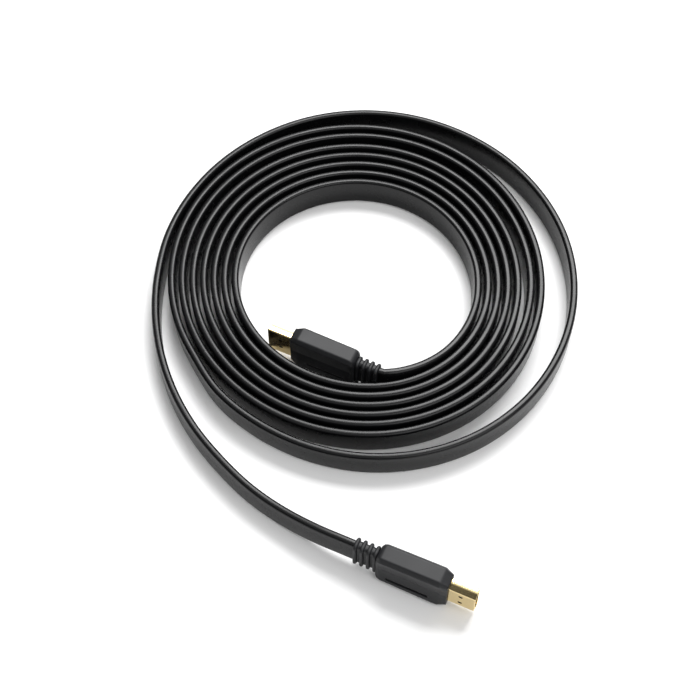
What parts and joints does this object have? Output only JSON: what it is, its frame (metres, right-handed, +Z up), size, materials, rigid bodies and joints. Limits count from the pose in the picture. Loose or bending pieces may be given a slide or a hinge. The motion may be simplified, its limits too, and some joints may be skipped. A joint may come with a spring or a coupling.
{
  "type": "flat hdmi cable",
  "caption": "Flat ribbon video cable wound into a flat coil on its edge, with a moulded, gold-shelled plug and ribbed strain relief on each end.",
  "frame": {"origin": "middle of the whole outline seen from above, on the surface the cable lies on", "axes": "+Z up, along the ribbon's width; -Y towards the loose tail and the outer plug, as the picture is seen"},
  "size_m": [0.1822, 0.2458, 0.0195],
  "materials": {
    "jacket": "smooth satin black soft PVC",
    "overmould": "fine-grained matt black moulding",
    "plug_shell": "bright gold plate over pressed steel sheet",
    "insulator": "smooth black moulding",
    "contacts": "gold plate"
  },
  "bodies": {
    "root": {"ribbon_coil": "jacket", "ribbon_lead": "jacket", "ribbon_tail": "jacket", "inner_plug_overmould": "overmould", "inner_plug_shell": "plug_shell", "inner_plug_insulator": "insulator", "outer_plug_overmould": "overmould", "outer_plug_shell": "plug_shell", "outer_plug_insulator": "insulator", "inner_plug_contact_01": "contacts", "inner_plug_contact_02": "contacts", "inner_plug_contact_03": "contacts", "inner_plug_contact_04": "contacts", "inner_plug_contact_05": "contacts", "inner_plug_contact_06": "contacts", "inner_plug_contact_07": "contacts", "inner_plug_contact_08": "contacts", "inner_plug_contact_09": "contacts", "inner_plug_contact_10": "contacts", "inner_plug_contact_11": "contacts", "inner_plug_contact_12": "contacts", "inner_plug_contact_13": "contacts", "inner_plug_contact_14": "contacts", "inner_plug_contact_15": "contacts", "inner_plug_contact_16": "contacts", "inner_plug_contact_17": "contacts", "inner_plug_contact_18": "contacts", "inner_plug_contact_19": "contacts", "outer_plug_contact_01": "contacts", "outer_plug_contact_02": "contacts", "outer_plug_contact_03": "contacts", "outer_plug_contact_04": "contacts", "outer_plug_contact_05": "contacts", "outer_plug_contact_06": "contacts", "outer_plug_contact_07": "contacts", "outer_plug_contact_08": "contacts", "outer_plug_contact_09": "contacts", "outer_plug_contact_10": "contacts", "outer_plug_contact_11": "contacts", "outer_plug_contact_12": "contacts", "outer_plug_contact_13": "contacts", "outer_plug_contact_14": "contacts", "outer_plug_contact_15": "contacts", "outer_plug_contact_16": "contacts", "outer_plug_contact_17": "contacts", "outer_plug_contact_18": "contacts", "outer_plug_contact_19": "contacts"}
  },
  "joints": []
}
